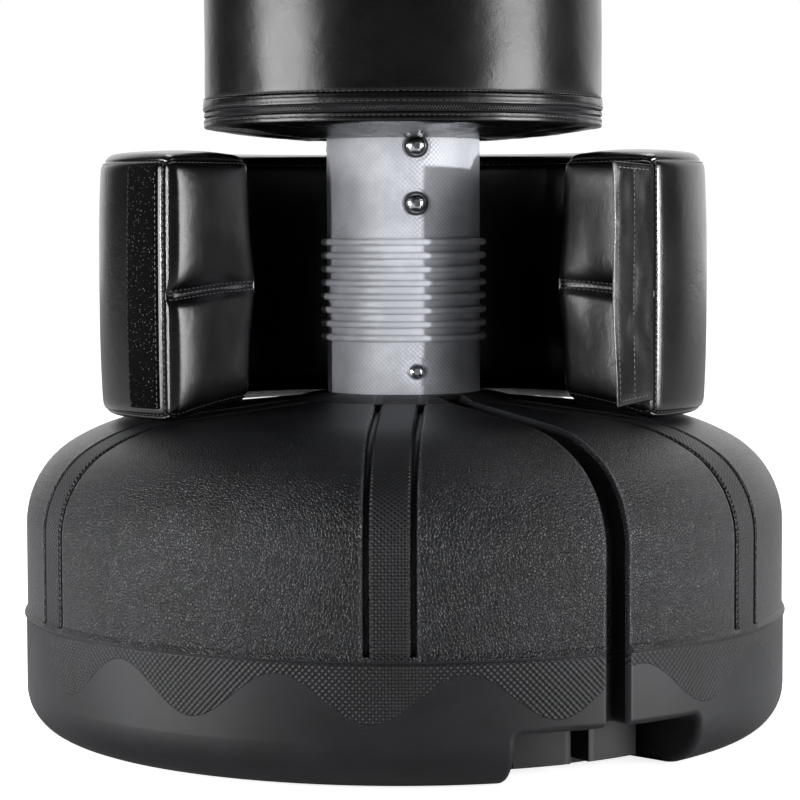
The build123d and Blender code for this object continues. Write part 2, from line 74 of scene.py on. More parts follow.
collar_centre = 4 * MM
collar_sweep = radians(137.5)
collar_turn = radians(2.5)
collar_length = collar_straight + collar_bend * collar_sweep
collar_middle = (collar_high - collar_low) * 0.475    # height of the sewn channel across each end
half_height = 0.36                  # about the middle of the collar's height
loop_width = 28.6 * MM
flap_width = 42 * MM
flap_thickness = 2.4 * MM
flap_seam = 19                      # middle seam, in mm from the flap's root
welt_drop = 1.7 * MM                # edge of a strip to its stitches
neck_pivot = (ribs_low.z + ribs_high.z) / 2


# ---------------------------------------------------------------- small helpers
def linear(code):
    """sRGB hex to linear RGBA."""
    channels = [int(code[i:i + 2], 16) / 255 for i in (0, 2, 4)]
    return [c / 12.92 if c <= 0.04045 else ((c + 0.055) / 1.055) ** 2.4 for c in channels] + [1.0]


def node(tree, kind, inputs=(), **settings):
    """Add a shader node; an input given a socket is linked, anything else is set."""
    made = tree.nodes.new("ShaderNode" + kind)
    for name, value in settings.items():
        setattr(made, name, value)
    for name, value in dict(inputs).items():
        socket = made.inputs[name]
        if isinstance(value, bpy.types.NodeSocket):
            tree.links.new(value, socket)
        else:
            socket.default_value = value
    return made


def material(name, colour, roughness, metallic=0.0):
    """Principled material on its own output, ready for its pattern."""
    made = bpy.data.materials.new(name)
    made.use_nodes = True
    tree = made.node_tree
    tree.nodes.clear()
    shader = node(tree, "BsdfPrincipled", {
        "Base Color": linear(colour), "Roughness": roughness, "Metallic": metallic})
    node(tree, "OutputMaterial", {"Surface": shader.outputs[0]})
    return made, tree, shader


def math(tree, operation, a, b=0.0, c=0.0):
    return node(tree, "Math", {0: a, 1: b, 2: c}, operation=operation).outputs[0]


def product(tree, a, b):
    return math(tree, "MULTIPLY", a, b)


def ramp(tree, value, low, high, to_low=0.0, to_high=1.0):
    """Smooth step of a value from one level to another."""
    return node(tree, "MapRange", {
        "Value": value, "From Min": low, "From Max": high, "To Min": to_low, "To Max": to_high,
    }, interpolation_type="SMOOTHSTEP").outputs[0]


def mix_colour(tree, factor, a, b):
    """Blend of two colours, each a socket or a fixed value."""
    made = node(tree, "Mix", {0: factor}, data_type="RGBA")
    for index, value in ((6, a), (7, b)):
        if isinstance(value, bpy.types.NodeSocket):
            tree.links.new(value, made.inputs[index])
        else:
            made.inputs[index].default_value = value
    return made.outputs[2]


def object_point(tree):
    return node(tree, "TexCoord").outputs["Object"]


def noise_value(tree, vector, size, detail=2.0, roughness=0.5, distortion=0.0):
    """Noise whose features are about the given size in metres."""
    return node(tree, "TexNoise", {
        "Vector": vector, "Scale": 1 / size, "Detail": detail, "Roughness": roughness,
        "Distortion": distortion}).outputs["Fac"]


def bump(tree, height, distance, strength=1.0, normal=None):
    inputs = {"Height": height, "Distance": distance, "Strength": strength}
    if normal is not None:
        inputs["Normal"] = normal
    return node(tree, "Bump", inputs).outputs[0]


def cylinder_point(tree, point, radius):
    """(distance round the upright axis at that radius, height) of a point."""
    split = node(tree, "SeparateXYZ", {0: point}).outputs
    turn = math(tree, "ARCTAN2", split[0], math(tree, "MULTIPLY", split[1], -1))
    return math(tree, "MULTIPLY", turn, radius), split[2], split


def from_axis(tree, split):
    """Distance of a split point from the upright axis."""
    return math(tree, "SQRT", math(tree, "ADD", product(tree, split[0], split[0]),
                                   product(tree, split[1], split[1])))


def diamonds(tree, across, up, pitch):
    """Raised diamonds of a knurl in staggered rows, 0 to 1, on two coordinates in metres."""
    a = math(tree, "SINE", math(tree, "MULTIPLY", across, pi / pitch))
    b = math(tree, "SINE", math(tree, "MULTIPLY", up, pi / pitch))
    return math(tree, "MULTIPLY_ADD", math(tree, "MULTIPLY", a, b), 0.5, 0.5)


# ---------------------------------------------------------------- camera, floor and light
def studio():
    """Camera at the height of the collar, white floor and backdrop, soft light from both sides."""
    camera_data = bpy.data.cameras.new("camera")
    camera_data.lens = 122.7
    camera_data.sensor_width = 36
    camera = bpy.data.objects.new("camera", camera_data)
    turn = (Matrix.Rotation(radians(0.084), 4, "Z") @ Matrix.Rotation(radians(90 - 3.604), 4, "X")
            @ Matrix.Rotation(radians(-0.219), 4, "Z"))
    camera.matrix_world = Matrix.Translation((0, -2.19766, 0.39766)) @ turn
    bpy.context.scene.collection.objects.link(camera)
    bpy.context.scene.camera = camera

    bpy.ops.mesh.primitive_plane_add(size=30, location=(0, 0, 0))
    floor = bpy.context.object
    floor.name = "floor"
    made, tree, shader = material("pale_floor", "F4F4F5", 0.65)
    shader.inputs["Emission Color"].default_value = (1, 1, 1, 1)
    seen = node(tree, "LightPath").outputs["Is Camera Ray"]
    tree.links.new(math(tree, "MULTIPLY", seen, 0.85), shader.inputs["Emission Strength"])
    floor.data.materials.append(made)

    def aimed(light, azimuth, distance, height, target):
        """Stand the light round the object and turn it to a height on the axis."""
        lamp = bpy.data.objects.new(light.name, light)
        a = radians(azimuth)
        place = Vector((distance * sin(a), -distance * cos(a), height))
        lamp.location = place
        lamp.rotation_euler = (Vector((0, 0, target)) - place).to_track_quat("-Z", "Y").to_euler()
        bpy.context.scene.collection.objects.link(lamp)

    def softbox(name, azimuth, distance, width, height, middle, power):
        light = bpy.data.lights.new(name, "AREA")
        light.shape = "RECTANGLE"
        light.size, light.size_y = width, height
        light.energy = power
        aimed(light, azimuth, distance, middle, 0.35)

    softbox("key_left", -69, 2.3, 1.36, 0.95, 0.475, 46)
    softbox("key_right", 66, 2.3, 1.12, 0.95, 0.475, 40)
    softbox("top_back", 170, 1.3, 1.8, 1.0, 2.6, 30)

    def neck_spot(name, azimuth, height, power):
        """Narrow beam that only reaches the neck, past one end of the collar."""
        light = bpy.data.lights.new(name, "SPOT")
        light.energy = power
        light.spot_size = radians(6.0)
        light.spot_blend = 0.5
        light.shadow_soft_size = 0.02
        aimed(light, azimuth, 2.6, height, 0.37)

    neck_spot("neck_left", -46, 0.43, 105)
    neck_spot("neck_right", 56.5, 0.46, 330)

    # white backdrop behind the object, a dark room in front of it
    bpy.context.scene.view_settings.view_transform = "Standard"
    world = bpy.data.worlds.new("white_surround")
    bpy.context.scene.world = world
    world.use_nodes = True
    tree = world.node_tree
    tree.nodes.clear()
    way = node(tree, "SeparateXYZ", {0: node(tree, "TexCoord").outputs["Generated"]}).outputs
    back = math(tree, "MULTIPLY_ADD", way[0], 0.2, way[1])
    behind = ramp(tree, math(tree, "MULTIPLY_ADD", way[2], 0.35, back), 0.6, 0.9, 0.06, 1.3)
    seen = node(tree, "LightPath").outputs["Is Camera Ray"]
    strength = node(tree, "Mix", {0: seen, 2: behind, 3: 1.02}).outputs[0]
    sky = node(tree, "Background", {"Color": (1, 1, 1, 1), "Strength": strength})
    node(tree, "OutputWorld", {"Surface": sky.outputs[0]})


# ---------------------------------------------------------------- materials
def moulded_tank():
    """Blow-moulded black polyethylene. The dome's leather grain is a little glossy and breaks the
    light into points; the diamonds in the channels and in the wavy field under the parting line
    look duller; the smooth wall below shows broad soft reflections."""
    made, tree, shader = material("polyethylene_moulded", "17181B", 0.42)
    shader.inputs["IOR"].default_value = 1.5
    point = object_point(tree)
    _, height, split = cylinder_point(tree, point, 1.0)
    radius = from_axis(tree, split)
    turn = math(tree, "SUBTRACT", math(tree, "ARCTAN2", split[0], product(tree, split[1], -1)),
                radians(tank_turn))
    step = radians(60)
    local = math(tree, "FLOORED_MODULO", math(tree, "ADD", turn, step / 2), step)
    local = math(tree, "SUBTRACT", local, step / 2)
    beside = product(tree, math(tree, "SINE", local), radius)
    in_channel = ramp(tree, math(tree, "ABSOLUTE", beside), channel_half + 0.5 * MM, channel_half - 0.5 * MM)
    on_dome = ramp(tree, height, parting_height, parting_height + 2 * MM)
    on_plateau = ramp(tree, height, 236 * MM, 252 * MM)

    # leather grain, about 2 mm across, flattening out towards the top
    grain = noise_value(tree, point, 1.7 * MM, 3.0, 0.6, 0.5)
    cells = node(tree, "TexVoronoi", {"Vector": point, "Scale": 1 / (2.3 * MM)},
                 feature="DISTANCE_TO_EDGE").outputs[0]
    leather = math(tree, "MULTIPLY_ADD", math(tree, "MINIMUM", cells, 0.22), 2.2, grain)
    leather = product(tree, leather, ramp(tree, on_plateau, 0, 1, 1.0, 0.45))

    # diamonds, drawn at 2.4 mm so that they show
    round_distance = product(tree, turn, tank_radius)
    wall_knurl = diamonds(tree, round_distance, height, 2.4 * MM)
    slope_way = math(tree, "SUBTRACT", height, product(tree, radius, 0.9))
    channel_knurl = diamonds(tree, beside, slope_way, 2.4 * MM)
    wave_count = 14
    lobes = math(tree, "COSINE", product(tree, math(tree, "ADD", turn, radians(2.6)), wave_count))
    reach = math(tree, "MULTIPLY_ADD", lobes, 17.5 * MM, 25.5 * MM)
    below = math(tree, "SUBTRACT", parting_height - 1 * MM, height)
    in_wave = product(tree, ramp(tree, math(tree, "SUBTRACT", reach, below), 0, 0.8 * MM),
                      ramp(tree, below, 0, 1 * MM))

    channel_on = product(tree, product(tree, in_channel, on_dome), ramp(tree, on_plateau, 0, 1, 1.0, 0.15))
    knurl = math(tree, "MULTIPLY_ADD", wall_knurl, in_wave, product(tree, channel_knurl, channel_on))
    panel_on = product(tree, on_dome, math(tree, "SUBTRACT", 1.0, in_channel))
    fine = noise_value(tree, point, 0.9 * MM, 2.0, 0.6)
    relief = math(tree, "MULTIPLY_ADD", product(tree, leather, panel_on), 0.5,
                  math(tree, "MULTIPLY_ADD", knurl, 0.62, product(tree, fine, 0.05)))
    # the ring round the neck is left ragged by the trimming of the mould's flash
    trimmed = product(tree, ramp(tree, radius, 93 * MM, 90 * MM), ramp(tree, height, 258 * MM, 260 * MM))
    ragged = noise_value(tree, point, 2.2 * MM, 3.0, 0.7, 1.0)
    relief = math(tree, "MULTIPLY_ADD", product(tree, ragged, trimmed), 1.6, relief)
    normal = bump(tree, relief, 1.3 * MM, 1.0)

    # painted highlight: the lips of the channels and of the deep groove (the deep groove's only at the front)
    # are painted lighter, and made smoother
    beyond = math(tree, "SUBTRACT", math(tree, "ABSOLUTE", beside), channel_edge)
    lip_highlight = product(tree, ramp(tree, math(tree, "ABSOLUTE", beyond), 1.5 * MM, 0.3 * MM), on_dome)
    deep_turn = math(tree, "SUBTRACT", turn, radians(deep_groove_azimuth))
    from_deep = product(tree, math(tree, "SINE", deep_turn), radius)
    beyond_deep = math(tree, "SUBTRACT", math(tree, "ABSOLUTE", from_deep), deep_groove_half)
    in_front = ramp(tree, math(tree, "COSINE", turn), 0.5, 0.6)
    deep_lip_highlight = ramp(tree, math(tree, "ABSOLUTE", beyond_deep), 2.4 * MM, 0.4 * MM)
    deep_lip_highlight = product(tree, deep_lip_highlight, in_front)
    lip_highlight = math(tree, "MAXIMUM", lip_highlight, deep_lip_highlight)

    worn = noise_value(tree, point, 60 * MM, 4.0, 0.6)
    shade = mix_colour(tree, ramp(tree, worn, 0.35, 0.7), linear("131417"), linear("1F2024"))
    lying = node(tree, "Mapping", {"Vector": point, "Scale": (1, 1, 6)}).outputs[0]
    scuffs = noise_value(tree, lying, 14 * MM, 5.0, 0.7)
    scuffed = product(tree, ramp(tree, scuffs, 0.56, 0.72), 0.25)
    shade = mix_colour(tree, scuffed, shade, linear("3A3B40"))
    # painted highlight: lighter grey along the lips of the channels and of the deep groove
    shade = mix_colour(tree, product(tree, lip_highlight, 0.5), shade, linear("4C4D53"))
    tree.links.new(shade, shader.inputs["Base Color"])
    rough = math(tree, "MULTIPLY_ADD", panel_on, -0.15, 0.46)
    rough = math(tree, "MULTIPLY_ADD", lip_highlight, -0.08, rough)
    rough = math(tree, "MULTIPLY_ADD", scuffs, 0.1, rough)
    tree.links.new(rough, shader.inputs["Roughness"])
    tree.links.new(normal, shader.inputs["Normal"])
    return made


def neck_plastic():
    """Grey polypropylene. The fine moulded knurl scatters the light evenly, with painted shade
    in its pits; the ribs are smooth and carry thin lines of light."""
    made, tree, shader = material("polypropylene_grey", "A9ABB2", 0.42)
    point = object_point(tree)
    along, height, _ = cylinder_point(tree, point, neck_radius)
    plain = product(tree, ramp(tree, height, ribs_low.z + 2 * MM, ribs_low.z + 3 * MM),
                    ramp(tree, height, ribs_high.z - 2 * MM, ribs_high.z - 3 * MM))
    knurl = product(tree, diamonds(tree, along, height, 1.9 * MM), math(tree, "SUBTRACT", 1.0, plain))
    normal = bump(tree, knurl, 0.35 * MM, 0.8)
    # painted shade: the hollows of the knurl, off the ribs, are painted a darker grey
    pits = ramp(tree, knurl, 0.15, 0.5, 0.0, 1.0)
    dirt = noise_value(tree, point, 25 * MM, 4.0, 0.6)
    base = mix_colour(tree, ramp(tree, dirt, 0.4, 0.7), linear("A3A5AC"), linear("B4B6BD"))
    pit_shade = product(tree, math(tree, "SUBTRACT", 1.0, pits), math(tree, "SUBTRACT", 1.0, plain))
    shade = mix_colour(tree, product(tree, pit_shade, 0.35), base, linear("8E9097"))
    tree.links.new(shade, shader.inputs["Base Color"])
    tree.links.new(normal, shader.inputs["Normal"])
    return made


def coated_fabric(name, colour, lighter, roughness, crease):
    """Polyurethane-coated fabric. It is deep black with long clear highlights, whose edges waver
    with the faint creases and the fine leather pores."""
    made, tree, shader = material(name, colour, roughness)
    point = object_point(tree)
    pores = node(tree, "TexVoronoi", {"Vector": point, "Scale": 1 / (1.5 * MM)}).outputs["Distance"]
    grain = noise_value(tree, point, 1.0 * MM, 2.0, 0.6)
    folds = noise_value(tree, point, 22 * MM, 4.0, 0.55, 0.8)
    relief = math(tree, "MULTIPLY_ADD", pores, 0.35, product(tree, grain, 0.5))
    normal = bump(tree, relief, 0.14 * MM, 0.6)
    normal = bump(tree, folds, crease, 0.6, normal)
    blotch = noise_value(tree, point, 45 * MM, 3.0, 0.6)
    shade = mix_colour(tree, ramp(tree, blotch, 0.35, 0.7), linear(colour), linear(lighter))
    tree.links.new(shade, shader.inputs["Base Color"])
    tree.links.new(math(tree, "MULTIPLY_ADD", blotch, 0.12, roughness - 0.06), shader.inputs["Roughness"])
    tree.links.new(normal, shader.inputs["Normal"])
    return made


def pile(name, colour, glint, size, roughness=0.9):
    """Hook-and-loop tape: a dull mat of fine black loops, a few of which carry a painted glint."""
    made, tree, shader = material(name, colour, roughness)
    point = object_point(tree)
    loops = node(tree, "TexVoronoi", {"Vector": point, "Scale": 1 / size}).outputs
    fuzz = noise_value(tree, point, size * 0.8, 3.0, 0.7)
    relief = math(tree, "MULTIPLY_ADD", loops["Distance"], -0.8, fuzz)
    tree.links.new(bump(tree, relief, 0.9 * MM, 1.0), shader.inputs["Normal"])
    chance = node(tree, "SeparateColor", {0: loops["Color"]}).outputs[0]
    # painted highlight: a few loops are painted the glint colour
    lit = product(tree, ramp(tree, chance, 0.93, 0.98), ramp(tree, loops["Distance"], 0.5, 0.25))
    tree.links.new(mix_colour(tree, lit, linear(colour), linear(glint)), shader.inputs["Base Color"])
    shader.inputs["Specular IOR Level"].default_value = 0.08
    return made


def woven(name, colour, pitch):
    """Narrow polyester tape: dull, with painted shade in the gaps between its close ribs."""
    made, tree, shader = material(name, colour, 0.85)
    point = object_point(tree)
    along, height, _ = cylinder_point(tree, point, bag_radius)
    weave = diamonds(tree, along, height, pitch)
    tree.links.new(bump(tree, weave, 0.25 * MM, 0.9), shader.inputs["Normal"])
    # painted shade: the gaps between the ribs are painted near black
    shade = mix_colour(tree, weave, linear("050506"), linear(colour))
    tree.links.new(shade, shader.inputs["Base Color"])
    return made


def metal(name, colour, roughness, scratch=0.06):
    """Bare or plated metal: bright, with an uneven polish that softens its reflections."""
    made, tree, shader = material(name, colour, roughness, metallic=1.0)
    point = object_point(tree)
    fine = noise_value(tree, point, 0.8 * MM, 3.0, 0.6)
    tree.links.new(math(tree, "MULTIPLY_ADD", fine, scratch * 2, roughness - scratch),
                   shader.inputs["Roughness"])
    tree.links.new(bump(tree, fine, 0.03 * MM, 0.5), shader.inputs["Normal"])
    return made


def plain_polymer(name, colour, lighter, roughness, grain=0.8):
    """Moulded rubber or plastic: a fine even texture keeps its reflections soft and dim."""
    made, tree, shader = material(name, colour, roughness)
    point = object_point(tree)
    fine = noise_value(tree, point, grain * MM, 3.0, 0.6)
    wide = noise_value(tree, point, 18 * MM, 3.0, 0.6)
    tree.links.new(mix_colour(tree, wide, linear(colour), linear(lighter)), shader.inputs["Base Color"])
    tree.links.new(bump(tree, fine, 0.08 * MM, 0.7), shader.inputs["Normal"])
    return made


# ---------------------------------------------------------------- modelling helpers
def deselect():
    """Leave edit mode with nothing selected."""
    if bpy.context.object and bpy.context.object.mode != "OBJECT":
        bpy.ops.object.mode_set(mode="OBJECT")
    bpy.ops.object.select_all(action="DESELECT")


def settle(piece, name, finish):
    """Put the piece's place into its mesh, name it and give it its material."""
    choose(piece)
    bpy.ops.object.transform_apply(location=True, rotation=True, scale=True)
    piece.name = name
    piece.data.name = name
    piece.data.materials.clear()
    piece.data.materials.append(finish)


def spun(name, outline, finish, steps=128, smooth=40):
    """Turn a half section of (radius, height) points round the upright axis."""
    deselect()
    bpy.ops.mesh.primitive_plane_add(size=MM)
    piece = bpy.context.object
    bpy.ops.object.mode_set(mode="EDIT")
    bpy.ops.mesh.select_all(action="SELECT")
    bpy.ops.mesh.merge(type="CENTER")
    bpy.ops.transform.translate(value=(0, -outline[0][0], outline[0][1]))
    for before, after in zip(outline, outline[1:]):
        move = (0, before[0] - after[0], after[1] - before[1])
        bpy.ops.mesh.extrude_region_move(TRANSFORM_OT_translate={"value": move})
    bpy.ops.mesh.select_all(action="SELECT")
    bpy.ops.mesh.spin(steps=steps, angle=2 * pi, center=(0, 0, 0), axis=(0, 0, 1))
    bpy.ops.mesh.select_all(action="SELECT")
    bpy.ops.mesh.remove_doubles(threshold=1e-6)
    bpy.ops.mesh.normals_make_consistent(inside=False)
    bpy.ops.object.mode_set(mode="OBJECT")
    settle(piece, name, finish)
    bpy.ops.object.shade_smooth_by_angle(angle=radians(smooth))
    return piece


def arc_points(centre, radius, start, end, count):
    """Points of an arc, its ends in degrees."""
    return [(centre[0] + radius * cos(radians(start + (end - start) * i / count)),
             centre[1] + radius * sin(radians(start + (end - start) * i / count)))
            for i in range(count + 1)]


def mesh_piece(name, points, faces, finish, smooth=True):
    """Piece from points and faces, for soft goods, stitches and rows of teeth."""
    data = bpy.data.meshes.new(name)
    data.from_pydata([tuple(p) for p in points], [], faces)
    data.validate()
    if smooth:
        data.polygons.foreach_set("use_smooth", [True] * len(data.polygons))
    piece = bpy.data.objects.new(name, data)
    bpy.context.scene.collection.objects.link(piece)
    data.materials.append(finish)
    return piece


def choose(piece):
    """Make the piece the only one selected."""
    deselect()
    piece.select_set(True)
    bpy.context.view_layer.objects.active = piece


def subdivide(piece):
    """One level of smooth subdivision, made part of the mesh."""
    choose(piece)
    made = piece.modifiers.new("subdivision", "SUBSURF")
    made.levels = made.render_levels = 1
    bpy.ops.object.modifier_apply(modifier=made.name)


def smooth_step(x, low, high):
    """0 below the low value, 1 above the high one, with a smooth rise between."""
    t = min(max((x - low) / (high - low), 0.0), 1.0)
    return t * t * (3 - 2 * t)


def stitched(name, rows, finish):
    """Rows of thread: one low rounded bar for each stitch, lying along its row.
    Each row is a list of (point, outward normal)."""
    length, gap, thickness = 3.2 * MM, 1.3 * MM, 0.55 * MM
    points, faces = [], []
    for row in rows:
        travelled, pitch = 0.0, length + gap
        next_start = gap
        for (a, out_a), (b, out_b) in zip(row, row[1:]):
            step = (b - a).length
            while next_start <= travelled + step and step > 0:
                t = (next_start - travelled) / step
                middle, along = a.lerp(b, t), (b - a).normalized()
                out = out_a.lerp(out_b, t).normalized()
                side = along.cross(out).normalized() * thickness / 2
                base = len(points)
                for reach, rise in ((-0.5, -0.3), (-0.32, 0.5), (0.32, 0.5), (0.5, -0.3)):
                    for across in (-1.0, -0.4, 0.4, 1.0):
                        up = rise * thickness * (0.55 if abs(across) == 1.0 else 1.0)
                        points.append(middle + along * length * reach + side * across * 1.3 + out * up)
                for i in range(3):
                    for j in range(3):
                        k = base + 4 * i + j
                        faces.append((k, k + 4, k + 5, k + 1))
                faces.append((base, base + 1, base + 2, base + 3))
                faces.append((base + 15, base + 14, base + 13, base + 12))
                faces.append((base + 12, base + 8, base + 4, base))
                faces.append((base + 3, base + 7, base + 11, base + 15))
                faces.append((base, base + 3, base + 15, base + 12))
                next_start += pitch
            travelled += step
    return mesh_piece(name, points, faces, finish)


def ring_row(radius, height, count=240):
    """Row of stitches' points round the bag."""
    row = []
    for i in range(count + 1):
        a = 2 * pi * i / count
        out = Vector((sin(a), -cos(a), 0))
        row.append((out * radius + Vector((0, 0, height)), out))
    return row


# ---------------------------------------------------------------- collar
def tank_top():
    """Height of the tank's top by distance from the axis, between two channels."""
    tank = bvhtree.BVHTree.FromObject(nodes["base_tank"], bpy.context.evaluated_depsgraph_get())
    a = radians(-32)
    levels = []
    for i in range(90, 300, 5):
        r = i * MM
        hit = tank.ray_cast(Vector((r * sin(a), -r * cos(a), 0.5)), Vector((0, 0, -1)))[0]
        levels.append((r, hit.z if hit else 0.1))
    return levels


tank_levels = tank_top()


def tank_height(r):
    """Height of the tank's top at a distance from the axis."""
    for (low_r, low_z), (high_r, high_z) in zip(tank_levels, tank_levels[1:]):
        if r <= high_r:
            share = max((r - low_r) / (high_r - low_r), 0)
            return low_z + (high_z - low_z) * share
    return tank_levels[-1][1]


def collar_place(side, along, across, height):
    """Point of the collar, from its place along the middle line, across the thickness and up.
    The foam's foot settles on the slope of the tank."""
    turn = max(along - collar_straight, 0) / collar_bend
    reach = collar_bend + across
    x = side * (min(along, collar_straight) + reach * sin(turn))
    y = collar_centre + reach * cos(turn)
    outer_share = min(max(across / collar_thickness + 0.5, 0), 1)
    deepest = -13 * MM
    settle_down = max(tank_height(hypot(x, y)) + 0.4 * MM - collar_low, deepest) * outer_share
    share = 1 - height / (collar_high - collar_low)
    nod = -2.0 * MM * smooth_step(along, 0.5 * collar_length, collar_length)
    z = collar_low + height + settle_down * share + nod * (1 - share)
    return Matrix.Rotation(collar_turn, 3, "Z") @ Vector((x, y, z))


def stations(length, rim, step, extra=()):
    """Places along one side of a block, closer together at its rims."""
    count = max(2, round((length - 2 * rim) / step))
    steps = [rim + (length - 2 * rim) * i / count for i in range(count + 1)]
    rims = [0, 0.16 * rim, 0.42 * rim, 0.72 * rim]
    places = rims + steps + [length - d for d in reversed(rims)] + list(extra)
    places.sort()
    kept = [places[0]]
    for place in places[1:]:
        if place - kept[-1] > 0.9 * MM:
            kept.append(place)
    return kept


seam_half = 3.0 * MM           # half height of the sewn channel across each end
collar_rim = 10.5 * MM         # rounding of the foam under the seams


def on_seam(i, j, k, last):
    """The cover is sewn round its top and foot, and down the outer corner of the free end."""
    level = k in (1, last[2] - 1) and (j in (0, last[1]) or i == last[0])
    corner = i == last[0] - 1 and j == last[1]
    return level or corner


def cushion_half(side, name, leather):
    """One half of the collar: foam in a sewn leather cover. Returns the piece and rows of its
    surface points by face, for what is sewn on it."""
    height = collar_high - collar_low
    middle = collar_middle
    alongs = [0.0, 2.5 * MM, 6 * MM] + [a for a in stations(collar_length, collar_rim, 6 * MM) if a > 10 * MM]
    acrosses = stations(collar_thickness, collar_rim, 6 * MM)
    rise = stations(height, collar_rim, 6 * MM)
    seam_rows = [middle + d for d in (-7 * MM, -seam_half, 0, seam_half, 7 * MM)]
    rise = sorted([h for h in rise if abs(h - middle) > 9 * MM] + seam_rows)
    last = (len(alongs) - 1, len(acrosses) - 1, len(rise) - 1)

    def swell(t):
        """How far a face stands out between its two seams, 0 to 1."""
        return 1 - abs(2 * t - 1) ** 2.6

    def place(i, j, k):
        u, v, w = alongs[i], acrosses[j] - collar_thickness / 2, rise[k]
        half = collar_thickness / 2
        r = collar_rim
        core = Vector((min(u, collar_length - r), min(max(v, r - half), half - r),
                       min(max(w, r), height - r)))
        away = Vector((u, v, w)) - core
        at = core + away.normalized() * r
        # the faces swell between their seams, and pull in at each seam
        across_share, up_share = v / collar_thickness + 0.5, w / height
        free_end = 1 - smooth_step(u, collar_length - 30 * MM, collar_length)
        back_seam = smooth_step(u, 0, 14 * MM)
        end_swell = swell(up_share) * (0.55 + 0.45 * (1 - smooth_step(abs(w - middle), 0, 50 * MM)))
        if j in (0, last[1]):
            way = -1 if j == 0 else 1
            at.y += way * 2.6 * MM * swell(up_share) * (0.25 + 0.75 * free_end) * back_seam
            at.y -= way * 2.4 * MM * (1 - smooth_step(u, 0, 6 * MM))
        if k in (0, last[2]):
            way, puff = (-1, 0.6 * MM) if k == 0 else (1, 4.2 * MM)
            at.z += puff * way * swell(across_share) * back_seam * (0.4 + 0.6 * free_end)
            at.z -= way * 2.4 * MM * (1 - smooth_step(u, 0, 6 * MM))
        # the inner corner of the free end has no seam, so the foam pushes it out
        inner = 1 - smooth_step(v, -half, -half + 34 * MM)
        inner *= smooth_step(u, collar_length - 40 * MM, collar_length)
        at.x += 5.0 * MM * end_swell * inner
        at.y -= 5.0 * MM * end_swell * inner
        if i == last[0]:
            part = w / middle if w < middle else (height - w) / (height - middle)
            at.x += 4.0 * MM * swell(across_share) * (1 - (2 * min(part, 1) - 1) ** 4)
            near = abs(w - middle)
            at.x -= 2.2 * MM * (1 - smooth_step(near, seam_half * 0.9, 8 * MM))
        if on_seam(i, j, k, last):
            at = at.lerp(core, 0.15)
        return collar_place(side, at.x, at.y, at.z)

    index, points, pinned = {}, [], []

    def number(i, j, k):
        key = (i, j, k)
        if key not in index:
            index[key] = len(points)
            points.append(place(i, j, k))
            channel = i == last[0] and abs(rise[k] - middle) < seam_half * 1.2
            if on_seam(i, j, k, last) or i == 0 or channel:
                pinned.append(index[key])
        return index[key]

    faces = []
    for k in (0, last[2]):
        for i in range(last[0]):
            for j in range(last[1]):
                faces.append([number(i, j, k), number(i + 1, j, k),
                              number(i + 1, j + 1, k), number(i, j + 1, k)])
    for j in (0, last[1]):
        for i in range(last[0]):
            for k in range(last[2]):
                faces.append([number(i, j, k), number(i + 1, j, k),
                              number(i + 1, j, k + 1), number(i, j, k + 1)])
    for i in (0, last[0]):
        for j in range(last[1]):
            for k in range(last[2]):
                faces.append([number(i, j, k), number(i, j + 1, k),
                              number(i, j + 1, k + 1), number(i, j, k + 1)])
    piece = mesh_piece(name, points, faces, leather)
    face_out(piece)
    inflate(piece, pinned, 6 * MM)
    subdivide(piece)

    mesh = piece.data
    surface = {key: (mesh.vertices[n].co.copy(), mesh.vertices[n].normal.copy())
               for key, n in index.items()}
    return piece, surface, (alongs, acrosses, rise, last)


def face_out(piece):
    """Turn every face outwards."""
    mesh = bmesh.new()
    mesh.from_mesh(piece.data)
    bmesh.ops.recalc_face_normals(mesh, faces=mesh.faces)
    mesh.to_mesh(piece.data)
    mesh.free()


def inflate(piece, pinned, limit):
    """Meant to let the cover swell as cloth over its filling, held at the seams, by the limit at
    most. It has no effect as it stands: the result of the cloth doesn't reach the mesh, so the
    cover keeps the swelling it is modelled with."""
    before = [v.co.copy() for v in piece.data.vertices]
    held = piece.vertex_groups.new(name="seams")
    held.add(pinned, 1.0, "REPLACE")
    cloth = piece.modifiers.new("cloth", "CLOTH")
    cloth.settings.quality = 6
    cloth.settings.mass = 0.35
    cloth.settings.tension_stiffness = 25
    cloth.settings.compression_stiffness = 20
    cloth.settings.shear_stiffness = 10
    cloth.settings.bending_stiffness = 1.2
    cloth.settings.air_damping = 6
    cloth.settings.vertex_group_mass = held.name
    cloth.settings.pin_stiffness = 1
    cloth.settings.use_pressure = True
    cloth.settings.uniform_pressure_force = 4.0
    cloth.settings.shrink_min = -0.018          # the cover is cut this share larger
    cloth.settings.effector_weights.gravity = 0
    cloth.collision_settings.use_collision = False
    cloth.collision_settings.use_self_collision = False
    scene = bpy.context.scene
    last_frame = 16
    for frame_number in range(1, last_frame + 1):
        scene.frame_set(frame_number)
    choose(piece)
    bpy.ops.object.modifier_apply(modifier=cloth.name)
    scene.frame_set(1)
    for vertex, start in zip(piece.data.vertices, before):
        move = vertex.co - start
        if move.length > limit:
            vertex.co = start + move.normalized() * limit
    piece.vertex_groups.clear()


def sewn_rows(surface, shape):
    """Rows of stitches beside the seams of a collar half."""
    alongs, acrosses, rise, (li, lj, lk) = shape
    rows = []

    def row(keys):
        rows.append([(surface[key][0], surface[key][1]) for key in keys])

    first = next(i for i, a in enumerate(alongs) if a > 3 * MM)
    for k in (2, lk - 2):
        row([(i, lj, k) for i in range(first, li)])
        row([(i, 0, k) for i in range(first, li + 1)])
        row([(li, j, k) for j in range(0, lj + 1)])
    row([(li - 2, lj, k) for k in range(2, lk - 1)])
    for j in (0, lj):
        row([(first + 1, j, k) for k in range(4, lk - 3)])
    middle = next(k for k in range(lk) if abs(rise[k] - collar_middle) < 0.1 * MM)
    for k in (middle - 1, middle, middle + 1):
        row([(li, j, k) for j in range(1, lj)])
    return rows


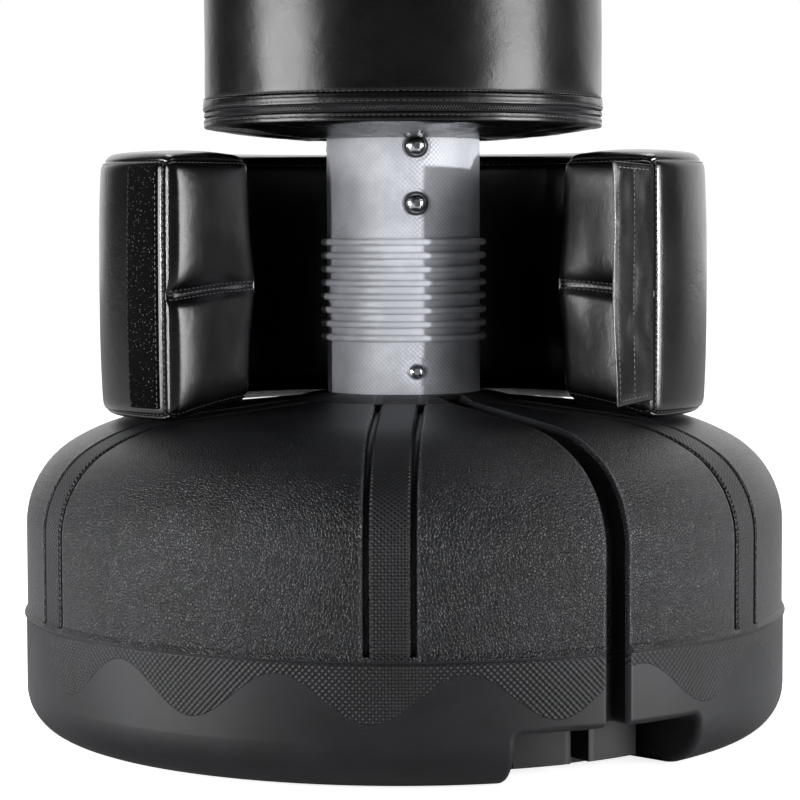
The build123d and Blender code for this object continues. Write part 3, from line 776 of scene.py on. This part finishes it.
def outer_face(surface, shape):
    """Function that gives the point and normal of a half's outer face at a place along and up."""
    alongs, _, rise, (_, lj, _) = shape

    def between(places, value):
        n = 0
        while n < len(places) - 2 and places[n + 1] < value:
            n += 1
        return n, (value - places[n]) / (places[n + 1] - places[n])

    def at(along, up):
        i, s = between(alongs, along)
        k, t = between(rise, up)
        corners = [surface[(i + a, lj, k + b)] for a in (0, 1) for b in (0, 1)]
        weights = [(1 - s) * (1 - t), (1 - s) * t, s * (1 - t), s * t]
        point = sum((c[0] * w for c, w in zip(corners, weights)), Vector())
        out = sum((c[1] * w for c, w in zip(corners, weights)), Vector())
        return point, out.normalized()
    return at


def shell_faces(columns, lines):
    """Faces of a closed sheet whose points come as an upper and a lower grid, column by column."""
    span = lines + 1
    offset = (columns + 1) * span
    faces = []
    for i in range(columns):
        for k in range(lines):
            n = i * span + k
            faces.append([n, n + span, n + span + 1, n + 1])
            faces.append([offset + n, offset + n + 1, offset + n + span + 1, offset + n + span])
    edge = [i * span for i in range(columns + 1)] + [columns * span + k for k in range(1, lines + 1)]
    edge += [i * span + lines for i in range(columns - 1, -1, -1)] + list(range(lines - 1, 0, -1))
    for a, b in zip(edge, edge[1:] + edge[:1]):
        faces.append([a, offset + a, offset + b, b])
    return faces


def laid_strip(name, at, across, up, thickness, finish, rough, step=2.2 * MM):
    """Closed strip that lies on a surface between two places across and two up, its edges turned
    down to it."""
    (low_along, high_along), (low, high) = across, up
    columns = max(3, round((high_along - low_along) / step))
    lines = max(3, round((high - low) / step))
    points = []
    for level in (1, -1):
        for i in range(columns + 1):
            for k in range(lines + 1):
                a = low_along + (high_along - low_along) * i / columns
                h = low + (high - low) * k / lines
                point, out = at(a, h)
                edge = i in (0, columns) or k in (0, lines)
                rise = thickness * (0.45 if edge else 1.0) if level > 0 else -0.5 * MM
                if level > 0 and not edge:
                    rise += rough * noise.noise(point * 420)
                points.append(point + out * rise)
    piece = mesh_piece(name, points, shell_faces(columns, lines), finish)
    face_out(piece)
    return piece


def collar(leather, thread, loops, hooks):
    """Both halves of the collar with their seams, the loop tape on the left one and the closing
    flap on the right one."""
    for side, word, arm in ((-1, "left", "collar_left_arm"), (1, "right", "collar_right_arm")):
        half, surface, shape = cushion_half(side, f"collar_{word}_cushion", leather)
        stitches = stitched(f"collar_{word}_stitches", sewn_rows(surface, shape), thread)
        for piece in (half, stitches):
            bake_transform(piece)
        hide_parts(f"collar_{word}_cover", f"collar_{word}_foam",
                    "collar_back_cover", "collar_back_foam")
        if side < 0:
            at = outer_face(surface, shape)
            near = collar_length - 8.5 * MM
            strip = laid_strip("loop_tape", at, (near - loop_width, near), (10 * MM, 186 * MM), 1.5 * MM,
                               loops, 0.5 * MM)
            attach(strip, arm)
            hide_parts("loop_strip")
            edge = 1.3 * MM
            hold = [[at(near - inset, 11.5 * MM + i * 4.3 * MM) for i in range(41)]
                    for inset in (edge, loop_width - edge)]
            hold = [[(p + out * 1.0 * MM, out) for p, out in line] for line in hold]
            sewn = stitched("loop_tape_stitches", hold, thread)
            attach(sewn, arm)
        else:
            flap(leather, thread, hooks)


def flap(leather, thread, hooks):
    """Closing flap: two layers of leather sewn round the edge, its hook tape on the inner side."""
    spin = Matrix.Rotation(collar_turn, 3, "Z")
    outer = collar_bend + collar_thickness / 2
    corner = Vector((collar_straight + outer * sin(collar_sweep),
                     collar_centre + outer * cos(collar_sweep), 0))
    away = Vector((cos(collar_sweep), -sin(collar_sweep), 0))
    out = Vector((sin(collar_sweep), cos(collar_sweep), 0))
    corner, away, out = spin @ corner, spin @ away, spin @ out
    low, high = 0.2655, 0.4455
    span = (high - low) / MM

    def at(across, up):
        """Middle of the flap's thickness; its lower free corner hangs lower and flares out."""
        free = max(across, 0) / flap_width
        drop = 1 - up
        level = low + (high - low) * up - 5.5 * MM * free * drop ** 2 + 2.0 * MM * free
        wave = 0.9 * MM * sin(up * 9.0 + 1.0) * free + 3.4 * MM * free ** 2 * drop ** 3
        inward = -flap_thickness / 2 - 0.6 * MM
        return corner + away * across + out * (inward + wave) + Vector((0, 0, level))

    free_edge = flap_width / MM
    columns = [-4.5, -2.5, -0.5, 1.5, 3, 4.5, 6.5, 9, 12, 15.5, 19, 22.5, 26, 29.5, 33, 36, 38.2, 40.2, 41.5,
               free_edge]
    lines = 74
    points = []
    for level in (1, -1):
        for across in columns:
            for k in range(lines + 1):
                up = k / lines
                rim = min(free_edge - across, up * span, (1 - up) * span)
                body = 0.5 + 0.5 * smooth_step(rim, 0, 4.5) - 0.22 * exp(-((rim - 4.2) / 1.3) ** 2)
                line = 0.2 * exp(-((across - flap_seam) / 1.4) ** 2)
                puff = 0.35 * noise.noise(Vector((across * 0.08, up * 9, level * 3)))
                shape = flap_thickness / 2 * (body - line + puff * smooth_step(rim, 1, 8))
                points.append(at(across * MM, up) + out * level * max(shape, 0.3 * MM))
    piece = mesh_piece("closing_flap", points, shell_faces(len(columns) - 1, lines), leather)
    face_out(piece)
    subdivide(piece)

    def lift(across, up):
        return at(across * MM, up) + out * (flap_thickness / 2 * 0.8), out

    count = 44
    rows = [[lift(across, 0.024 + 0.952 * i / count) for i in range(count + 1)]
            for across in (flap_seam, free_edge - 4)]
    rows += [[lift(2 + 36 * i / 12, up) for i in range(13)] for up in (0.024, 0.976)]
    sewn = stitched("closing_flap_stitches", rows, thread)
    start, end = corner + away * -4 * MM, corner + away * 4 * MM
    start.z = end.z = half_height
    for each in (piece, sewn):
        tuple(start)
        tuple(end)
        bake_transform(each)
    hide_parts("collar_flap")

    def inner_side(across, up):
        share = (up - 10 * MM) / (span * MM)
        return at(across, share) - out * flap_thickness * 0.45, -out

    tape = laid_strip("hook_tape", inner_side, (10 * MM, 38 * MM), (18 * MM, 180 * MM), 1.2 * MM, hooks,
                      0.3 * MM, step=3 * MM)
    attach(tape, "flap")
    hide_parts("hook_strip")


# ---------------------------------------------------------------- neck
def bellows(plastic):
    """The flexible ribbed stretch, as two halves that meet at the middle of its bend."""
    bore = neck_radius - 4.4 * MM
    pitch, half_rib, foot = 10.8 * MM, 2.75 * MM, 1.2 * MM
    crest = (ribs_high.x - ribs_low.x) / 2 - half_rib
    first = ribs_low.z + 6.3 * MM

    def outline(low, high, ribs):
        line = [(neck_radius, low)]
        for middle in ribs:
            line += [(neck_radius, middle - half_rib - foot), (neck_radius + 0.5 * MM, middle - half_rib)]
            line += arc_points((crest, middle), half_rib, -90, 90, 10)
            line += [(neck_radius + 0.5 * MM, middle + half_rib), (neck_radius, middle + half_rib + foot)]
        return line + [(neck_radius, high), (bore, high), (bore, low), (neck_radius, low)]

    ribs = [first + i * pitch for i in range(8)]
    lower = spun("bellows_lower", outline(ribs_low.z, neck_pivot, ribs[:4]), plastic)
    upper = spun("bellows_upper", outline(neck_pivot, ribs_high.z, ribs[4:]), plastic)
    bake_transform(lower)
    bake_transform(upper)
    for piece in (lower, upper):
        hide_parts("neck_bellows")


# ---------------------------------------------------------------- bag
def soft_round(name, section, finish, azimuths, shift=None):
    """Soft shell round the upright axis. The section runs from pole to pole, or is a closed ring."""
    poles = section[0][0] == 0
    points, faces, rings = [], [], []
    for radius, height in section:
        ring = []
        for azimuth in azimuths if radius > 0 else azimuths[:1]:
            r, z = (radius, height) if shift is None else shift(azimuth, radius, height)
            ring.append(len(points))
            points.append((r * sin(azimuth), -r * cos(azimuth), z))
        rings.append(ring)
    if not poles:
        rings.append(rings[0])
    count = len(azimuths)
    for a, b in zip(rings, rings[1:]):
        for i in range(count):
            j = (i + 1) % count
            if len(a) == 1:
                faces.append([a[0], b[j], b[i]])
            elif len(b) == 1:
                faces.append([a[i], a[j], b[0]])
            else:
                faces.append([a[i], a[j], b[j], b[i]])
    piece = mesh_piece(name, points, faces, finish)
    face_out(piece)
    return piece


back_seam_azimuths = [radians(180 + d) for d in (-2.4, -1.5, -0.8, -0.35, 0, 0.35, 0.8, 1.5, 2.4)]


def round_steps(step):
    """Azimuths round the bag, closer together at the seam down its back."""
    plain = [radians(a) for a in range(0, 360, step) if abs(a - 180) > 3]
    return sorted(plain + back_seam_azimuths)


def back_groove(azimuth, depth):
    """How far the surface is pulled in at the seam down the back."""
    return depth * exp(-((azimuth - pi) / radians(0.45)) ** 2)


def bag(leather, thread, tape_cloth, teeth):
    """The bag's cover with its lid and welt, the strips and the zip round its foot, its bottom
    panel and its seams."""
    low, top, r = cover_low.z, cover_high.z, bag_radius

    def side_shift(azimuth, radius, height):
        if radius < 0.9 * r:
            return radius, height
        point = Vector((sin(azimuth) * r, -cos(azimuth) * r, height))
        slow = noise.noise(point * 9) * 0.9 * MM + noise.noise(point * 24) * 0.35 * MM
        end = exp(-(height - low) / (16 * MM)) + exp(-(top - height) / (16 * MM))
        pucker = noise.noise(Vector((sin(azimuth) * 7, cos(azimuth) * 7, height * 18))) * 1.1 * MM * end
        pull = -0.9 * MM * (exp(-(height - low) / (5 * MM)) + exp(-(top - height) / (5 * MM)))
        calm = smooth_step(height - low, 0, 10 * MM) * smooth_step(top - height, 0, 10 * MM)
        return radius + slow * calm + pucker * calm + pull - back_groove(azimuth, 1.4 * MM), height

    heights = [low + d * MM for d in (2.5, 4.5, 8, 12, 17, 23, 30)]
    heights += [low + 38 * MM + (top - low - 76 * MM) * i / 100 for i in range(101)]
    heights += [top - d * MM for d in (30, 23, 17, 12, 8, 4.5, 2.5)]
    section = [(0, low - 2 * MM), (0.94 * r, low - 2 * MM), (r - 2.4 * MM, low - 0.6 * MM),
               (r - 0.7 * MM, low + 0.6 * MM)]
    section += [(r, h) for h in heights]
    section += [(r - 0.7 * MM, top - 0.6 * MM), (r - 2.4 * MM, top + 0.4 * MM), (0.94 * r, top + 1 * MM),
                (0, top + 1 * MM)]
    body = soft_round("bag_body", section, leather, round_steps(2), side_shift)
    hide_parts("bag_cover", "bag_foam")

    dome = (r ** 2 + (bag_crown - top) ** 2) / (2 * (bag_crown - top))
    reach = asin((r - 2 * MM) / dome)
    crown = [(dome * sin(reach * i / 24), bag_crown - dome * (1 - cos(reach * i / 24))) for i in range(25)]
    crown += [(r - 1.5 * MM, top + 0.4 * MM), (r - 4 * MM, top - 1.5 * MM), (0, top - 1.5 * MM)]

    def crown_shift(azimuth, radius, height):
        if height < top + 0.3 * MM:
            return radius, height
        near = exp(-(r - radius) / (14 * MM))
        fold = noise.noise(Vector((sin(azimuth) * 9, cos(azimuth) * 9, 4.0))) * 1.5 * MM * near
        slow = noise.noise(Vector((sin(azimuth) * radius * 12, cos(azimuth) * radius * 12, 8.0))) * 1.2 * MM
        return radius, height + (fold + slow * (1 - near) - 0.9 * MM) * smooth_step(r - radius, 0, 9 * MM)

    every_two = [radians(2 * a) for a in range(180)]
    lid = soft_round("bag_lid", crown, leather, every_two, crown_shift)
    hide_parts("top_panel")
    cord = arc_points((r - 0.6 * MM, top + 0.2 * MM), 2.3 * MM, 0, 330, 11)
    welt = soft_round("bag_lid_welt", cord, leather, every_two)

    # edge strip, zip and folded strip round the foot
    def band(name, node_name, low_z, high_z, proud, finish, creases):
        """Strip round the bag, standing proud of it and pulled in along its creases."""
        depth = 3 * MM
        line = [(r - depth, low_z)]
        count = max(3, round((high_z - low_z) / (0.9 * MM)))
        for i in range(count + 1):
            z = low_z + (high_z - low_z) * i / count
            edge = min(z - low_z, high_z - z) / (1.4 * MM)
            round_off = 0.7 * MM * (1 - min(edge, 1)) ** 2
            crease = sum(0.45 * MM * exp(-((z - c) / (0.8 * MM)) ** 2) for c in creases)
            line.append((r + proud - round_off - crease, z))
        line.append((r - depth, high_z))

        def ripple(azimuth, radius, height):
            if radius < r - 2 * MM:
                return radius, height
            wave = noise.noise(Vector((sin(azimuth) * 16, cos(azimuth) * 16, low_z * 90))) * 0.35 * MM
            return radius + wave, height + wave * 0.6
        piece = soft_round(name, line, finish, [radians(1.5 * a) for a in range(240)], ripple)
        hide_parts(node_name)
        return piece

    foot_seam, fold_seam = bottom_high.z + 1.6 * MM, zip_high.z + welt_drop
    foot = band("foot_band", "lower_band", bottom_high.z - 3.0 * MM, zip_low.z + 0.3 * MM, 0.3 * MM,
                leather, [foot_seam])
    tape = band("zip_cloth", "zip_tape", zip_low.z - 0.5 * MM, zip_high.z + 0.5 * MM, -1.0 * MM,
                tape_cloth, [])
    fold = band("folded_band", "upper_band", zip_high.z - 0.4 * MM, low + 0.6 * MM, 1.0 * MM, leather,
                [fold_seam, low - 1.2 * MM])

    chain = zip_teeth(teeth)

    def bottom_shift(azimuth, radius, height):
        if radius < 0.075:
            return radius, height
        share = smooth_step(radius, 0.072, 0.1) * smooth_step(r - radius, 0, 8 * MM)
        fold_up = noise.noise(Vector((sin(azimuth) * 5, cos(azimuth) * 5, radius * 14))) * 2.2 * MM
        fine = noise.noise(Vector((sin(azimuth) * 13, cos(azimuth) * 13, radius * 60))) * 0.8 * MM
        return radius, height + (fold_up + fine) * share

    hole = neck_radius + 1.2 * MM + 6 * MM
    dish_low, dish_rim = bottom_low.z, bottom_low.z + 8.5 * MM
    section = [(hole, dish_low)]
    section += [(hole + (r - 9 * MM - hole) * i / 14,
                 dish_low + (dish_rim - 0.8 * MM - dish_low) * (i / 14) ** 1.25) for i in range(1, 15)]
    section += [(r - 5 * MM, dish_rim - 0.3 * MM), (r - 2 * MM, dish_rim + 0.6 * MM),
                (r - 0.8 * MM, dish_rim + 2 * MM), (r - 2 * MM, dish_rim + 3.4 * MM),
                (r - 9 * MM, dish_rim + 2 * MM), (hole, dish_low + 2 * MM)]
    dish = soft_round("bag_bottom_panel", section, leather, every_two, bottom_shift)
    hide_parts("bottom_panel")

    rows = [ring_row(r + 0.25 * MM, low + welt_drop), ring_row(r + 0.85 * MM, fold_seam),
            ring_row(r + 0.2 * MM, foot_seam), ring_row(r + 0.15 * MM, top - 3.5 * MM)]
    side_rows = []
    for azimuth in (radians(180 - 1.5), radians(180 + 1.5)):
        line = []
        for i in range(150):
            z = low + 4 * MM + (top - low - 8 * MM) * i / 149
            reach_out, _ = side_shift(azimuth, r, z)
            out = Vector((sin(azimuth), -cos(azimuth), 0))
            line.append((out * (reach_out + 0.15 * MM) + Vector((0, 0, z)), out))
        side_rows.append(line)
    sewn = stitched("bag_stitches", rows + side_rows, thread)
    for piece in (body, lid, welt, dish, sewn, foot, tape, fold, chain):
        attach(piece, "bag")


def zip_teeth(finish):
    """Closed row of moulded teeth. One tooth is shaped, then repeated round the bag."""
    middle = (zip_low.z + zip_high.z) / 2
    deselect()
    bpy.ops.mesh.primitive_cube_add(size=1)
    tooth = bpy.context.object
    tooth.scale = (1.35 * MM, 1.3 * MM, 1.55 * MM)
    bpy.ops.object.transform_apply(location=True, rotation=True, scale=True)
    bpy.ops.object.mode_set(mode="EDIT")
    bpy.ops.mesh.select_all(action="SELECT")
    bpy.ops.mesh.bevel(offset=0.28 * MM, segments=1)
    bpy.ops.object.mode_set(mode="OBJECT")
    shape = [v.co.copy() for v in tooth.data.vertices]
    sides = [list(p.vertices) for p in tooth.data.polygons]
    bpy.data.objects.remove(tooth)
    radius = bag_radius - 0.4 * MM
    count = round(2 * pi * radius / (2.35 * MM))
    points, faces = [], []
    for n in range(count):
        for row in (0, 1):
            a = 2 * pi * (n + 0.5 * row) / count
            turn = Matrix.Rotation(a, 3, "Z")
            place = turn @ Vector((0, -radius, 0)) + Vector((0, 0, middle + (row - 0.5) * 1.35 * MM))
            base = len(points)
            points += [place + turn @ corner for corner in shape]
            faces += [[base + i for i in side] for side in sides]
    piece = mesh_piece("zip_teeth", points, faces, finish, smooth=False)
    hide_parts("zip_chain")
    return piece


# ---------------------------------------------------------------- making
studio()
bag_leather = coated_fabric("polyurethane_leather_bag", "060608", "0A0A0C", 0.28, 0.45 * MM)
collar_leather = coated_fabric("polyurethane_leather_collar", "040405", "08080A", 0.24, 0.5 * MM)
# painted highlight: the thread is black, painted grey so its stitches show as light dashes
thread = plain_polymer("polyester_thread", "3C3D42", "4C4D53", 0.5, 0.5)
finishes = {
    "tank_plastic": moulded_tank(),
    "neck_plastic": neck_plastic(),
    "cap_plastic": plain_polymer("polypropylene_cap", "111214", "1B1C1F", 0.45),
    "core_plastic": plain_polymer("polyethylene_plug", "1C1D20", "27282C", 0.5),
    "black_washer": plain_polymer("nylon_washer", "0C0C0E", "15161A", 0.4),
    "zip_teeth": plain_polymer("acetal_zip_teeth", "17181B", "24252A", 0.3, 0.4),
    "steel_tube": metal("steel_tube_drawn", "8E9094", 0.35),
    "zinc_steel": metal("zinc_plated_steel", "B4B7BC", 0.3),
    "bolt_steel": metal("stainless_steel_bolt", "C9CBD0", 0.2),
    "zip_metal": metal("nickel_plated_zip", "6E7076", 0.3),
    "bag_leather": bag_leather,
    "collar_leather": collar_leather,
    "foam": plain_polymer("polyether_foam", "3C3D42", "4A4B50", 0.95, 1.6),
    "zip_tape": woven("polyester_zip_tape", "1B1B1F", 1.8 * MM),
    "loop_fabric": pile("nylon_loop_tape", "040405", "8E9097", 0.9 * MM),
    "hook_fabric": pile("nylon_hook_tape", "060608", "5A5B60", 1.1 * MM, 0.7),
    "gasket_rubber": plain_polymer("nitrile_rubber", "0E0E10", "17181B", 0.6),
}
for cad in nodes.values():
    for slot in cad.material_slots:
        slot.material = finishes[slot.name]

collar(collar_leather, thread, finishes["loop_fabric"], finishes["hook_fabric"])
bellows(finishes["neck_plastic"])
bag(bag_leather, thread, finishes["zip_tape"], finishes["zip_teeth"])
